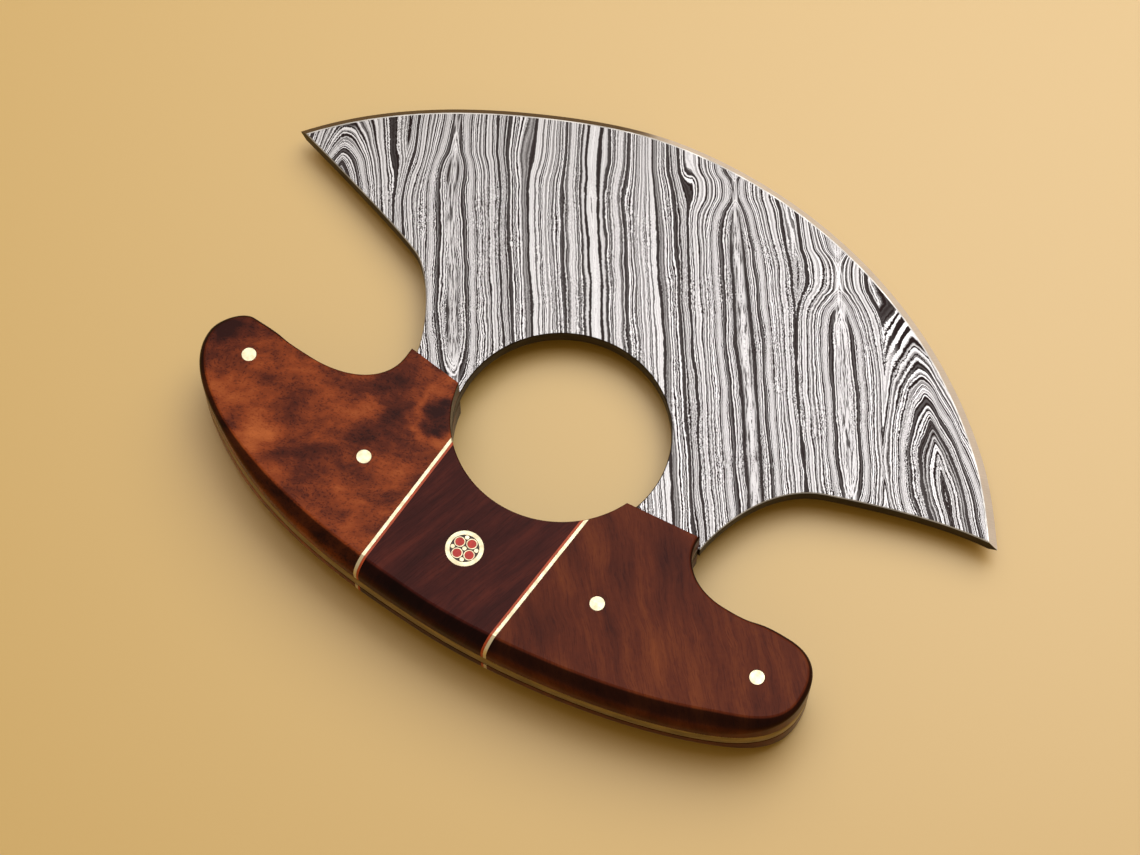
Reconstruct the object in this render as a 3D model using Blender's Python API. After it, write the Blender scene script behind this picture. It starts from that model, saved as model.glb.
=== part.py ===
# An ulu knife: a crescent blade of folded steel with a full tang, gripped between two wooden
# scales. Each scale is made of three woods with a strip of brass and a strip of red fibre in
# each joint, and four brass pins and one mosaic pin hold the handle together.
#
# The knife is drawn in its own plan, with the mosaic pin at the centre: X runs along the handle,
# Y from the spine towards the cutting edge and Z square to the blade. The whole knife is then
# laid down as it rests on a table, on the end of its back scale and on the edge of its bevel.

import bmesh
import bpy
import math
from mathutils import Matrix, Vector
from mathutils.geometry import interpolate_bezier

# Blade plate and the bevel of its cutting edge, in metres
PLATE_THICKNESS = 0.003175
EDGE_BEVEL = 0.0019

# Cutting edge: one arc that grinding by hand has eased into a shallow dip left of the middle and
# into a fall towards the right tip. Its angles are taken round its centre, from +X.
EDGE_RADIUS = 0.1103
EDGE_CENTRE_Y = 0.0010
EDGE_DIP = 0.0014
DIP_ANGLE = math.radians(118)
DIP_RIGHT_REACH = math.radians(20)
DIP_LEFT_REACH = math.radians(26)
TIP_FALL = 0.0006
TIP_FALL_REACH = math.radians(11)
TIP_ANGLE = math.radians(35.2)

# Wings and legs of the blade: the slope of each wing at its tip, its root above the leg, and
# where the leg meets the handle at the height of the waist
LEFT_TIP_SLOPE = math.radians(14.8)
RIGHT_TIP_SLOPE = math.radians(3)
LEFT_ROOT_X = 0.0506
LEFT_ROOT_Y = 0.0533
RIGHT_ROOT_X = 0.0537
RIGHT_ROOT_Y = 0.0542
ROOT_SLOPE = math.radians(22)
LEFT_LEG_X = 0.0354
RIGHT_LEG_X = 0.0389

# Finger hole through blade and handle
HOLE_RADIUS = 0.02325
HOLE_CENTRE_Y = 0.03535

# Outline of the handle on each side: the waist beside the hole, the floor of the finger notch,
# the crest and the end of the horn, its heel, and the spine
WAIST_Y = 0.0290
LEFT_WAIST_X = 0.0357
RIGHT_WAIST_X = 0.0383
LEFT_NOTCH_X = 0.0519
LEFT_NOTCH_Y = 0.0179
RIGHT_NOTCH_X = 0.0504
RIGHT_NOTCH_Y = 0.0191
LEFT_CREST_X = 0.0677
LEFT_CREST_Y = 0.0188
RIGHT_CREST_X = 0.0652
RIGHT_CREST_Y = 0.0209
LEFT_HORN_X = 0.0740
LEFT_HORN_Y = 0.0113
RIGHT_HORN_X = 0.0746
RIGHT_HORN_Y = 0.0104
LEFT_HEEL_X = 0.0587
LEFT_HEEL_Y = -0.0054
LEFT_HEEL_SLOPE = math.radians(28.9)
RIGHT_HEEL_X = 0.0603
RIGHT_HEEL_Y = -0.0047
RIGHT_HEEL_SLOPE = math.radians(23.7)
SPINE_DEPTH = 0.0165

# How full each stretch of the outline is: the pull of its two ends, each as a share of the way
# between them, from the tip to the root and the waist, then from the waist to the spine
left_blade_shares = ((0.17, 0.23), (0.21, 0.29))
right_blade_shares = ((0.28, 0.32), (0.46, 0.10))
left_handle_shares = ((0.34, 0.48), (0.70, 0.70), (0.31, 0.31), (0.39, 0.21), (0.36, 0.31))
right_handle_shares = ((0.38, 0.43), (0.62, 0.62), (0.45, 0.50), (0.36, 0.39), (0.30, 0.30))

# Handle scales: thickness, and the width of the rounding along their outer edges
SCALE_THICKNESS = 0.00566
NOTCH_ROUND = 0.0007
CREST_ROUND = 0.0011
LEFT_HORN_ROUND = 0.0015
RIGHT_HORN_ROUND = 0.0012
LEFT_HEEL_ROUND = 0.0014
RIGHT_HEEL_ROUND = 0.0036
SPINE_ROUND = 0.0031
SPINE_SWELL = 0.0035
round_drop_share = 1.25
ROUND_ARC = math.radians(68)

# Ends of the scales on the blade, measured at the middle of each leg
LEFT_SHOULDER_Y = 0.0309
LEFT_SHOULDER_RISE = math.radians(5)
RIGHT_SHOULDER_Y = 0.0283
RIGHT_SHOULDER_RISE = math.radians(6.7)

# Joints between the three woods of a scale
JOINT_X = 0.0159
RIGHT_JOINT_LEAN = math.radians(2.2)
BRASS_STRIP = 0.00070
FIBRE_STRIP = 0.00050

# Handle pins, the outer ones measured inward from the ends of the horns
PIN_RADIUS = 0.0015875
LEFT_PIN_INSET = 0.0109
LEFT_PIN_Y = 0.0108
RIGHT_PIN_INSET = 0.0103
RIGHT_PIN_Y = 0.0100
INNER_PIN_X = 0.0291
INNER_PIN_Y = 0.0052

# Mosaic pin: a tube, four small tubes with red cores, a centre rod and four rods round it. The
# small tubes stand side by side, the bore is as wide as their ring, and the rods fill the corners
# that the small tubes leave.
SMALL_TUBE_COUNT = 4
SMALL_TUBE_RADIUS = 0.00116
SMALL_TUBE_WALL = 0.00022
SMALL_TUBE_GAP = 0.00021
SMALL_TUBE_BED = 0.00008
rod_share = 0.405
ROD_BED = 0.00009
MOSAIC_WALL = 0.00094
MOSAIC_TURN = math.radians(67)
RESIN_FILM = 0.00002

# Clearance between neighbours, and how far a cutter runs past what it cuts
FIT_GAP = 0.00025
OVERRUN = 0.0060

CURVE_STEPS = 12
SPINE_STEPS = 20
ROUND_STEPS = 7
EDGE_SEGMENTS = 200
HOLE_SEGMENTS = 96
PIN_SEGMENTS = 28
SMALL_SEGMENTS = 20

half_plate = PLATE_THICKNESS / 2
scale_base = half_plate + FIT_GAP
scale_face = scale_base + SCALE_THICKNESS

small_tube_ring = (SMALL_TUBE_RADIUS + SMALL_TUBE_GAP / 2) / math.sin(math.pi / SMALL_TUBE_COUNT)
mosaic_bore = small_tube_ring + SMALL_TUBE_RADIUS + SMALL_TUBE_BED
mosaic_radius = mosaic_bore + MOSAIC_WALL
rod_radius = SMALL_TUBE_RADIUS * rod_share
rod_ring = mosaic_bore - rod_radius - ROD_BED

# Headings along the outline, as angles from +X
LEVEL = 0
DOWN = math.radians(-90)
BACK = math.radians(180)

LEFT = {
    "sign": -1, "tip_slope": LEFT_TIP_SLOPE, "root": (LEFT_ROOT_X, LEFT_ROOT_Y), "leg": LEFT_LEG_X,
    "waist": LEFT_WAIST_X, "notch": (LEFT_NOTCH_X, LEFT_NOTCH_Y), "crest": (LEFT_CREST_X, LEFT_CREST_Y),
    "horn": (LEFT_HORN_X, LEFT_HORN_Y), "horn_round": LEFT_HORN_ROUND,
    "heel": (LEFT_HEEL_X, LEFT_HEEL_Y), "heel_slope": LEFT_HEEL_SLOPE, "heel_round": LEFT_HEEL_ROUND,
    "blade_shares": left_blade_shares, "handle_shares": left_handle_shares,
    "shoulder": LEFT_SHOULDER_Y, "rise": LEFT_SHOULDER_RISE, "lean": 0,
    "pin": (LEFT_PIN_INSET, LEFT_PIN_Y),
}
RIGHT = {
    "sign": 1, "tip_slope": RIGHT_TIP_SLOPE, "root": (RIGHT_ROOT_X, RIGHT_ROOT_Y), "leg": RIGHT_LEG_X,
    "waist": RIGHT_WAIST_X, "notch": (RIGHT_NOTCH_X, RIGHT_NOTCH_Y), "crest": (RIGHT_CREST_X, RIGHT_CREST_Y),
    "horn": (RIGHT_HORN_X, RIGHT_HORN_Y), "horn_round": RIGHT_HORN_ROUND,
    "heel": (RIGHT_HEEL_X, RIGHT_HEEL_Y), "heel_slope": RIGHT_HEEL_SLOPE, "heel_round": RIGHT_HEEL_ROUND,
    "blade_shares": right_blade_shares, "handle_shares": right_handle_shares,
    "shoulder": RIGHT_SHOULDER_Y, "rise": RIGHT_SHOULDER_RISE, "lean": RIGHT_JOINT_LEAN,
    "pin": (RIGHT_PIN_INSET, RIGHT_PIN_Y),
}


def heading(angle):
    return Vector((math.cos(angle), math.sin(angle), 0))


# A stretch of the outline between two knots, up to but not on the second. A knot is a point and
# a heading. The z of its point is the width of the rounding there, so the rounding grows and
# shrinks along with the outline.
def stretch(start, end, shares, steps=CURVE_STEPS, swell=None):
    here, leaving = start
    there, arriving = end
    reach = (there - here).to_2d().length
    leave = here + heading(leaving) * reach * shares[0]
    arrive = there - heading(arriving) * reach * shares[1]
    if swell is not None:
        leave.z = arrive.z = swell
    return interpolate_bezier(here, leave, arrive, there, steps + 1)[:-1]


# The handle's outline on one side, from the waist round the horn to the middle of the spine
def handle_side(side):
    knots = [
        (Vector((side["waist"], WAIST_Y, NOTCH_ROUND)), DOWN),
        (Vector((*side["notch"], NOTCH_ROUND)), LEVEL),
        (Vector((*side["crest"], CREST_ROUND)), LEVEL),
        (Vector((*side["horn"], side["horn_round"])), DOWN),
        (Vector((*side["heel"], side["heel_round"])), BACK + side["heel_slope"]),
        (Vector((0, -SPINE_DEPTH, SPINE_ROUND)), BACK),
    ]
    outline = []
    for start, end, shares in zip(knots, knots[1:-1], side["handle_shares"]):
        outline += stretch(start, end, shares)
    return outline + stretch(*knots[-2:], side["handle_shares"][-1], SPINE_STEPS, SPINE_SWELL)


# A smooth hump that is 1 at its middle and 0 from one reach away
def hump(offset, reach):
    return math.cos(math.radians(90) * min(abs(offset) / reach, 1)) ** 2


# How far the cutting edge lies from its centre, in the direction of an angle
def edge_radius(angle):
    offset = angle - DIP_ANGLE
    dip = hump(offset, DIP_LEFT_REACH if offset > 0 else DIP_RIGHT_REACH)
    fall = hump(max(angle - TIP_ANGLE, 0), TIP_FALL_REACH)
    return EDGE_RADIUS - EDGE_DIP * dip - TIP_FALL * fall


# The blade's outline on one side, from past the tip down the wing and the leg to the waist
def blade_side(side):
    tip_angle = TIP_ANGLE if side is RIGHT else BACK - TIP_ANGLE
    tip = heading(TIP_ANGLE) * edge_radius(tip_angle) + Vector((0, EDGE_CENTRE_Y, 0))
    knots = [(tip, BACK + side["tip_slope"]), (Vector((*side["root"], 0)), BACK + ROOT_SLOPE),
             (Vector((side["leg"], WAIST_Y, 0)), DOWN)]
    wing_shares, leg_shares = side["blade_shares"]
    return ([tip + heading(side["tip_slope"]) * OVERRUN]
            + stretch(knots[0], knots[1], wing_shares)
            + stretch(knots[1], knots[2], leg_shares) + [knots[2][0]])


# Both sides joined into one loop, anticlockwise from the middle of the spine
def closed_loop(right_side, left_side):
    mirrored = [Vector((-p.x, p.y, p.z)) for p in left_side]
    spine = Vector((0, -SPINE_DEPTH, SPINE_ROUND))
    return [spine] + right_side[::-1] + mirrored


# A closed solid through rings of matching points, the lowest first
def loft(name, rings):
    shape = bmesh.new()
    loops = [[shape.verts.new(point) for point in ring] for ring in rings]
    for low, high in zip(loops, loops[1:]):
        for i, corner in enumerate(low):
            shape.faces.new((low[i - 1], corner, high[i], high[i - 1]))
    shape.faces.new(loops[0][::-1])
    shape.faces.new(loops[-1])
    return finish_mesh(name, shape)


def finish_mesh(name, shape):
    bmesh.ops.recalc_face_normals(shape, faces=shape.faces[:])
    mesh = bpy.data.meshes.new(name)
    shape.to_mesh(mesh)
    shape.free()
    return mesh


def ring_at(radius, height, segments, centre=(0, 0)):
    angles = [math.tau * i / segments for i in range(segments)]
    return [Vector((centre[0] + radius * math.cos(a), centre[1] + radius * math.sin(a), height))
            for a in angles]


def add_object(name, mesh, material=None):
    piece = bpy.data.objects.new(name, mesh)
    bpy.context.collection.objects.link(piece)
    piece.parent = KNIFE
    if material:
        mesh.materials.append(material)
        mesh.shade_smooth()
        mesh.set_sharp_from_angle(angle=SMOOTH_ANGLE)
    return piece


# A cutter is drawn as wire and is no piece of the knife
def add_cutter(name, mesh):
    cutter = add_object(name, mesh)
    cutter.hide_render = True
    cutter.display_type = "WIRE"
    return cutter


def cut(piece, cutter, operation="DIFFERENCE"):
    modifier = piece.modifiers.new(cutter.name, "BOOLEAN")
    modifier.operation = operation
    modifier.object = cutter
    modifier.solver = "EXACT"


def finish(name, colour, roughness, metallic=0.0):
    material = bpy.data.materials.new(name)
    material.use_nodes = True
    shader = material.node_tree.nodes["Principled BSDF"]
    shader.inputs["Base Color"].default_value = (*colour, 1)
    shader.inputs["Roughness"].default_value = roughness
    shader.inputs["Metallic"].default_value = metallic
    material.diffuse_color = (*colour, 1)
    return material


# The double cone that the cutting edge is ground on, one bevel on each face of the plate
def edge_grind():
    reach = half_plate + OVERRUN
    inset = EDGE_BEVEL * reach / half_plate
    angles = [math.tau * i / EDGE_SEGMENTS for i in range(EDGE_SEGMENTS)]
    rings = [[heading(a) * (edge_radius(a) - back) + Vector((0, EDGE_CENTRE_Y, height)) for a in angles]
             for back, height in ((inset, -reach), (0, 0), (inset, reach))]
    return add_cutter("edge_grind", loft("edge_grind", rings))


# Every round hole of the knife in one cutter: the finger hole, the pin holes and the mosaic hole
def round_holes():
    shape = bmesh.new()
    depth = 2 * (scale_face + OVERRUN)
    holes = [((0, HOLE_CENTRE_Y), HOLE_RADIUS, HOLE_SEGMENTS),
             ((0, 0), mosaic_radius + FIT_GAP, PIN_SEGMENTS)]
    holes += [(centre, PIN_RADIUS + FIT_GAP, PIN_SEGMENTS) for centre in pin_places().values()]
    for centre, radius, segments in holes:
        bmesh.ops.create_cone(shape, cap_ends=True, segments=segments, radius1=radius, radius2=radius,
                              depth=depth, matrix=Matrix.Translation((*centre, 0)))
    return add_cutter("round_holes", finish_mesh("round_holes", shape))


def pin_places():
    places = {}
    for word, side in (("left", LEFT), ("right", RIGHT)):
        inset, height = side["pin"]
        places[f"outer_{word}"] = (side["sign"] * (side["horn"][0] - inset), height)
        places[f"inner_{word}"] = (side["sign"] * INNER_PIN_X, INNER_PIN_Y)
    return places


# Blade and tang in one plate: sawn to the outline, ground on the double cone and drilled
def make_blade(grind, holes, steel):
    corner = Vector((EDGE_RADIUS, EDGE_CENTRE_Y + EDGE_RADIUS + OVERRUN, 0))
    sides = [[corner] + blade_side(side) + handle_side(side) for side in (RIGHT, LEFT)]
    outline = closed_loop(*sides)
    rings = [[Vector((p.x, p.y, height)) for p in outline] for height in (-half_plate, half_plate)]
    blade = add_object("blade_and_tang", loft("blade_and_tang", rings), steel)
    cut(blade, grind, "INTERSECT")
    cut(blade, holes)


# Directions square to the outline, pointing into the handle, one for each of its points
def inward(outline):
    count = len(outline)
    normals = []
    for i in range(count):
        along = (outline[(i + 1) % count] - outline[i - 1]).to_2d().normalized()
        normals.append(Vector((-along.y, along.x, 0)))
    return normals


# One whole scale before it is parted: upright walls, then a rounding that is as wide as the
# outline says and meets the flat face on a crisp line
def scale_blank(face_side):
    top = WAIST_Y + OVERRUN
    sides = [[Vector((side["waist"], top, NOTCH_ROUND))] + handle_side(side) for side in (RIGHT, LEFT)]
    outline = closed_loop(*sides)
    normals = inward(outline)
    rings = [[Vector((p.x, p.y, scale_base * face_side)) for p in outline]]
    for step in range(ROUND_STEPS + 1):
        angle = ROUND_ARC * step / ROUND_STEPS
        inset = (1 - math.cos(angle)) / (1 - math.cos(ROUND_ARC))
        climb = math.sin(angle) / math.sin(ROUND_ARC)
        rings.append([
            Vector((p.x, p.y, 0)) + normal * p.z * inset
            + Vector((0, 0, (scale_face - p.z * round_drop_share * (1 - climb)) * face_side))
            for p, normal in zip(outline, normals)])
    return loft("scale_blank", rings)


# What is left of a blank on the side of each plane that its normal points to
def parted(blank, planes, name):
    shape = bmesh.new()
    shape.from_mesh(blank)
    for point, normal in planes:
        everything = shape.verts[:] + shape.edges[:] + shape.faces[:]
        bmesh.ops.bisect_plane(shape, geom=everything, plane_co=point, plane_no=normal, clear_inner=True)
        bmesh.ops.holes_fill(shape, edges=[edge for edge in shape.edges if edge.is_boundary])
    return finish_mesh(name, shape)


# A plane across the handle that follows one joint, offset towards the horn on that side
def joint_plane(side, offset, towards_horn):
    lean = side["lean"]
    outward = Vector((side["sign"] * math.cos(lean), -math.sin(lean), 0))
    point = Vector((side["sign"] * JOINT_X, 0, 0)) + outward * offset
    return point, outward if towards_horn else -outward


# The plane that ends the scale on the blade, rising a little towards the outside
def shoulder_plane(side):
    middle = side["sign"] * (side["waist"] + HOLE_RADIUS) / 2
    down = Vector((side["sign"] * math.sin(side["rise"]), -math.cos(side["rise"]), 0))
    return Vector((middle, side["shoulder"], 0)), down


# One face of the handle: three woods, and in each joint a brass strip and a fibre strip
def make_face(face, face_side, holes, finishes):
    blank = scale_blank(face_side)
    joint = BRASS_STRIP + FIBRE_STRIP + 3 * FIT_GAP
    brass_out = joint / 2 - FIT_GAP
    brass_in = brass_out - BRASS_STRIP
    fibre_out = brass_in - FIT_GAP
    fibre_in = fibre_out - FIBRE_STRIP
    pieces = {f"{face}_scale_centre": ("centre_wood", [joint_plane(side, -joint / 2, False)
                                                       for side in (LEFT, RIGHT)])}
    for word, side in (("left", LEFT), ("right", RIGHT)):
        pieces[f"{face}_scale_{word}"] = (f"{word}_wood", [joint_plane(side, joint / 2, True),
                                                           shoulder_plane(side)])
        pieces[f"{face}_brass_{word}"] = ("brass", [joint_plane(side, brass_in, True),
                                                    joint_plane(side, brass_out, False)])
        pieces[f"{face}_fibre_{word}"] = ("fibre", [joint_plane(side, fibre_in, True),
                                                    joint_plane(side, fibre_out, False)])
    for name, (material, planes) in pieces.items():
        piece = add_object(name, parted(blank, planes, name), finishes[material])
        cut(piece, holes)
    bpy.data.meshes.remove(blank)


def rod_mesh(name, radius, segments, centre=(0, 0)):
    return loft(name, [ring_at(radius, height, segments, centre) for height in (-scale_face, scale_face)])


# A tube standing at a centre, with walls of the outer and the inner circle
def tube_mesh(name, radius, bore, segments, centre=(0, 0)):
    shape = bmesh.new()
    corners = ((radius, -scale_face), (radius, scale_face), (bore, scale_face), (bore, -scale_face))
    loops = [[shape.verts.new(point) for point in ring_at(r, height, segments, centre)]
             for r, height in corners]
    for j, loop in enumerate(loops):
        before = loops[j - 1]
        for i in range(segments):
            shape.faces.new((before[i - 1], before[i], loop[i], loop[i - 1]))
    return finish_mesh(name, shape)


def make_pins(brass):
    for word, centre in pin_places().items():
        name = f"pin_{word}"
        add_object(name, rod_mesh(name, PIN_RADIUS, PIN_SEGMENTS, centre), brass)


def around(radius, turn):
    angles = [turn + math.tau * i / SMALL_TUBE_COUNT for i in range(SMALL_TUBE_COUNT)]
    return [(radius * math.cos(a), radius * math.sin(a)) for a in angles]


# The mosaic pin: every tube and rod runs through the handle, bedded in dark resin
def make_mosaic(finishes):
    brass = finishes["brass"]
    add_object("mosaic_tube", tube_mesh("mosaic_tube", mosaic_radius, mosaic_bore, PIN_SEGMENTS * 2),
               brass)
    half_pitch = math.tau / SMALL_TUBE_COUNT / 2
    rods = [("centre", (0, 0))]
    rods += [(str(i + 1), centre) for i, centre in enumerate(around(rod_ring, MOSAIC_TURN + half_pitch))]
    for word, centre in rods:
        name = f"mosaic_rod_{word}"
        add_object(name, rod_mesh(name, rod_radius, SMALL_SEGMENTS, centre), brass)
    small_bore = SMALL_TUBE_RADIUS - SMALL_TUBE_WALL
    tubes = around(small_tube_ring, MOSAIC_TURN)
    for i, centre in enumerate(tubes):
        tube = f"mosaic_small_tube_{i + 1}"
        core = f"mosaic_core_{i + 1}"
        add_object(tube, tube_mesh(tube, SMALL_TUBE_RADIUS, small_bore, PIN_SEGMENTS, centre), brass)
        add_object(core, rod_mesh(core, small_bore - RESIN_FILM, PIN_SEGMENTS, centre), finishes["core"])
    resin = add_object("mosaic_resin", rod_mesh("mosaic_resin", mosaic_bore - RESIN_FILM,
                                                PIN_SEGMENTS * 2), finishes["resin"])
    shape = bmesh.new()
    bored = [(centre, rod_radius, SMALL_SEGMENTS) for word, centre in rods]
    bored += [(centre, SMALL_TUBE_RADIUS, PIN_SEGMENTS) for centre in tubes]
    for centre, radius, segments in bored:
        radius += RESIN_FILM
        bmesh.ops.create_cone(shape, cap_ends=True, segments=segments, radius1=radius, radius2=radius,
                              depth=2 * (scale_face + OVERRUN), matrix=Matrix.Translation((*centre, 0)))
    cut(resin, add_cutter("mosaic_bores", finish_mesh("mosaic_bores", shape)))


# Lays the knife down on the end of its back scale and on the arris where its bevel begins, with
# the middle of its footprint at the origin
def lay_down():
    leg = LEFT_WAIST_X - HOLE_RADIUS
    shoulder = LEFT_SHOULDER_Y + math.tan(LEFT_SHOULDER_RISE) * leg / 2
    arris = EDGE_CENTRE_Y + EDGE_RADIUS - EDGE_BEVEL
    KNIFE.rotation_euler.x = -math.atan2(scale_face - half_plate, arris - shoulder)
    bpy.context.view_layer.update()
    graph = bpy.context.evaluated_depsgraph_get()
    corners = []
    for piece in KNIFE.children:
        if not piece.hide_render:
            shape = piece.evaluated_get(graph)
            corners += [shape.matrix_world @ vertex.co for vertex in shape.data.vertices]
    low = Vector([min(c[axis] for c in corners) for axis in range(3)])
    high = Vector([max(c[axis] for c in corners) for axis in range(3)])
    KNIFE.location = -Vector(((low.x + high.x) / 2, (low.y + high.y) / 2, low.z))


def build():
    finishes = {
        "left_wood": finish("amber_burl", (0.17, 0.055, 0.022), 0.30),
        "centre_wood": finish("dark_rosewood", (0.055, 0.022, 0.024), 0.30),
        "right_wood": finish("red_brown_wood", (0.085, 0.032, 0.022), 0.32),
        "brass": finish("polished_brass", (0.86, 0.72, 0.45), 0.25, 1.0),
        "fibre": finish("red_fibre", (0.50, 0.10, 0.05), 0.55),
        "core": finish("red_core", (0.55, 0.06, 0.05), 0.45),
        "resin": finish("dark_resin", (0.03, 0.025, 0.02), 0.35),
    }
    holes = round_holes()
    make_blade(edge_grind(), holes, finish("folded_steel", (0.42, 0.41, 0.41), 0.38, 1.0))
    make_face("front", 1, holes, finishes)
    make_face("back", -1, holes, finishes)
    make_pins(finishes["brass"])
    make_mosaic(finishes)
    lay_down()


for old in list(bpy.data.objects):
    bpy.data.objects.remove(old)

SMOOTH_ANGLE = math.radians(30)
KNIFE = bpy.data.objects.new("knife", None)
bpy.context.collection.objects.link(KNIFE)
build()
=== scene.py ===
import math

import bmesh
import bpy
from mathutils import Matrix, Vector
from mathutils.geometry import interpolate_bezier


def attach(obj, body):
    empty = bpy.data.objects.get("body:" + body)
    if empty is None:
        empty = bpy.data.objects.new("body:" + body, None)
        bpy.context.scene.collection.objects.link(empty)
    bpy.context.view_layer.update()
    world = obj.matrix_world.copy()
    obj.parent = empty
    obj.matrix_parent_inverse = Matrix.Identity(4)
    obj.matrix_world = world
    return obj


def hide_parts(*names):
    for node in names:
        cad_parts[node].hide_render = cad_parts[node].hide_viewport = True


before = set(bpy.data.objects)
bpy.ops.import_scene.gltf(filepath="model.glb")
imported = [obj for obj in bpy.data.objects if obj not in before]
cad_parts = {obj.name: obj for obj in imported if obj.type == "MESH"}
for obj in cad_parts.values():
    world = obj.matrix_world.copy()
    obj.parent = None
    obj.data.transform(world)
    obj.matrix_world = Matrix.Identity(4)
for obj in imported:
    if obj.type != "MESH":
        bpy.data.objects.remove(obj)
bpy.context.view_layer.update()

# The knife is drawn in its own plan in millimetres, with the mosaic pin at the centre: X along the
# handle, Y from the spine towards the cutting edge, Z square to the blade. restPose then lays it down.
mm = 0.001
restPose = {"tilt": -0.0756678507, "at": (0.243403, -47.127448, 9.853123)}

blade = {
    "thickness": 3.175,
    "edgeRadius": 110.28,
    "edgeCentreY": 1.0,
    "bevel": 1.9,
    "dip": 1.4,             # the edge is ground a little flat left of its middle
    "dipAngle": 118.0,
    "dipReachRight": 20.0,
    "dipReachLeft": 26.0,
    "tipFall": 0.6,         # and it falls in towards the right tip
    "tipFallReach": 11.0,
    "tipAngle": 35.2,
    "rootSlope": 22.0,
    "arris": 0.20,          # the small bright bevel round the sawn outline
    "tangArris": 0.06,
    "brightLine": 0.25,     # the narrow flat between the bevel and the pattern
    "brightStep": 0.04,
    "wingOverrun": 3.0,     # how far the drawn wing runs past the tip before the edge cuts it
    "tangBlend": 2.0,       # the arris changes to the tang's within this length
    "edgeSteps": 240,
}

hole = {"radius": 23.25, "y": 35.35, "steps": 192}

handle = {
    "waistY": 29.0,
    "tangBrightBelow": 24.0,    # from the spine up to here the tang's edge is sanded bright
    "spineDepth": 16.49,        # how far the spine lies above the mosaic pin
    "scaleThickness": 5.66,
    "film": 0.25,           # glue between the tang and a scale
    "notchRound": 0.7,
    "crestRound": 1.1,
    "spineRound": 3.1,
    "spineSwell": 3.5,
    "roundDrop": 1.25,
    "roundArc": 68.0,
    "roundSteps": 12,
    "shoulderSoftening": 0.45,
    "topOverrun": 6.0,      # how far the blank runs past the waist before a plane ends the scale
    "holeFlare": 0.25,
    "sharpAngle": 14.0,
    "curveSteps": 24,
    "spineSteps": 60,
}

# the outline on each side, from the tip of the wing round the horn to the spine; the shares say
# how full each stretch is
leftSide = {
    "sign": -1, "tipSlope": 14.8, "root": (50.6, 53.3), "leg": 35.4, "waist": 35.7,
    "notch": (51.9, 17.9), "crest": (67.7, 18.8), "horn": (74.0, 11.3), "hornRound": 1.5,
    "heel": (58.7, -5.4), "heelSlope": 28.9, "heelRound": 1.4,
    "bladeShares": ((0.17, 0.23), (0.21, 0.29)),
    "handleShares": ((0.34, 0.48), (0.70, 0.70), (0.31, 0.31), (0.39, 0.21), (0.36, 0.31)),
    "shoulder": 30.9, "rise": 5.0, "lean": 0.0,
}
rightSide = {
    "sign": 1, "tipSlope": 3.0, "root": (53.7, 54.2), "leg": 38.9, "waist": 38.3,
    "notch": (50.4, 19.1), "crest": (65.2, 20.9), "horn": (74.6, 10.4), "hornRound": 1.2,
    "heel": (60.3, -4.7), "heelSlope": 23.7, "heelRound": 3.6,
    "bladeShares": ((0.28, 0.32), (0.46, 0.10)),
    "handleShares": ((0.38, 0.43), (0.62, 0.62), (0.45, 0.50), (0.36, 0.39), (0.30, 0.30)),
    "shoulder": 28.3, "rise": 6.7, "lean": 2.2,
}

joint = {"x": 15.9, "room": 1.95, "brass": 0.70, "fibre": 0.50, "glue": 0.03, "film": 0.25}

pins = {
    "radius": 1.5875,
    "seat": 0.06,           # dark ring of glue round each pin
    "seatFlare": 0.02,
    "chamfer": 0.05,
    "places": {"outer_left": (-63.1, 10.8), "inner_left": (-29.1, 5.2),
               "inner_right": (29.1, 5.2), "outer_right": (64.3, 10.0)},
    "steps": 64,
}

mosaic = {
    "radius": 3.969, "bore": 3.029, "smallRadius": 1.17, "smallWall": 0.23, "smallRing": 1.789,
    "rodRadius": 0.47, "rodRing": 2.469, "turn": 67.0, "film": 0.01, "sunk": 0.01,
    "cutOverrun": 1.0, "steps": 96, "smallSteps": 48,
}

cutOverrun = 3.0            # how far a flared cutter runs past what it cuts

halfPlate = blade["thickness"] / 2
scaleBase = halfPlate + handle["film"]
scaleFace = scaleBase + handle["scaleThickness"]
restMatrix = (Matrix.Translation(Vector(restPose["at"]) * mm)
              @ Matrix.Rotation(restPose["tilt"], 4, "X"))
print("knife: frame loaded,", len(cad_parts), "solids")


# camera, as the photo was taken: angles and distances in the knife's own plan
view = {
    "azimuth": 0.5789, "elevation": 1.1259, "roll": 0.0170,
    "targetX": 0.549, "targetY": 37.739, "distance": 560.28, "lens": 83.60,
}


def aimCamera():
    turn, rise = view["azimuth"], view["elevation"]
    back = Vector((math.sin(turn) * math.cos(rise), -math.cos(turn) * math.cos(rise), math.sin(rise)))
    right = Vector((math.cos(turn), math.sin(turn), 0))
    up = back.cross(right)
    c, s = math.cos(view["roll"]), math.sin(view["roll"])
    right, up = right * c + up * s, up * c - right * s
    place = Vector((view["targetX"], view["targetY"], 0)) * mm + back * view["distance"] * mm
    pose = Matrix((right, up, back)).transposed().to_4x4()
    pose.translation = place
    data = bpy.data.cameras.new("camera")
    data.sensor_width = 36
    data.lens = view["lens"]
    data.clip_start = 0.01
    camera = bpy.data.objects.new("camera", data)
    camera.matrix_world = restMatrix @ pose
    bpy.context.collection.objects.link(camera)
    bpy.context.scene.camera = camera


# light: a dim room, a broad soft box above and behind the blade, and a soft lamp overhead
light = {
    "room": 0.34, "roomTint": (1.0, 0.65, 0.20),
    "boxAt": (-0.24, 0.50, 1.05), "boxSize": 1.3, "boxPower": 6.6,
    "overAt": (0.09, 0.70, 0.98), "overSize": 1.0, "overPower": 6.4,
    "skyTint": (0.62, 0.54, 0.42),
}


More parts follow.
